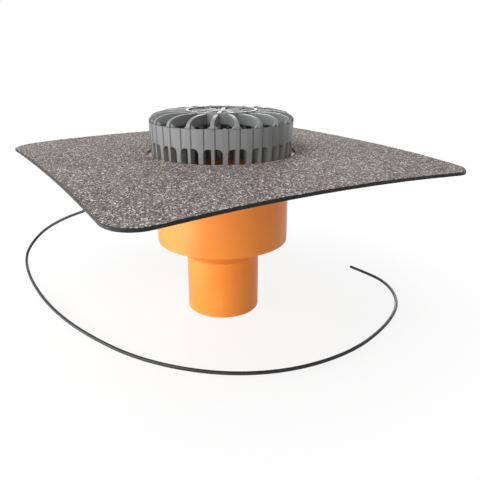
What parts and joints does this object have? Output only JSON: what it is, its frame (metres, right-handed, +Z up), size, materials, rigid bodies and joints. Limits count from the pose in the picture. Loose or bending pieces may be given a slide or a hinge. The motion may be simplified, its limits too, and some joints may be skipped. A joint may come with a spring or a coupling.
{
  "type": "flat roof drain",
  "caption": "Vertical flat roof drain with a square bitumen collar, a bladed leaf guard, a pipe spigot and a heating cable.",
  "frame": {"origin": "on the drain's axis at the spigot's lower end, on which the drain stands", "axes": "+Z up along the drain's axis; X and Y along the sides of the square collar"},
  "size_m": [0.5318, 0.6356, 0.3041],
  "materials": {
    "body_plastic": "orange moulded pipe plastic, satin",
    "slated_bitumen": "bitumen sheet with fine grey, tan and blue-grey slate chips on top, black cut edge and underside",
    "guard_plastic": "mid-grey moulded plastic, fine matt surface",
    "funnel_plastic": "orange moulded plastic, satin",
    "seal_rubber": "black seal rubber",
    "heater_silicone": "red-brown silicone heater",
    "insulation_foam": "pale rigid foam",
    "gland_plastic": "black moulded plastic",
    "cable_sheath": "dark grey flexible cable sheath, satin"
  },
  "bodies": {
    "root": {"drain_body": "body_plastic", "membrane_collar": "slated_bitumen", "leaf_guard": "guard_plastic", "funnel_insert": "funnel_plastic", "rim_gasket": "seal_rubber", "outlet_seal": "seal_rubber", "heating_band": "heater_silicone", "insulation_ring": "insulation_foam", "gland_washer": "seal_rubber", "gland_body": "gland_plastic", "gland_lock_nut": "gland_plastic", "gland_cap": "gland_plastic", "gland_bush": "seal_rubber", "cable_tail": "cable_sheath", "connection_cable": "cable_sheath"}
  },
  "joints": []
}
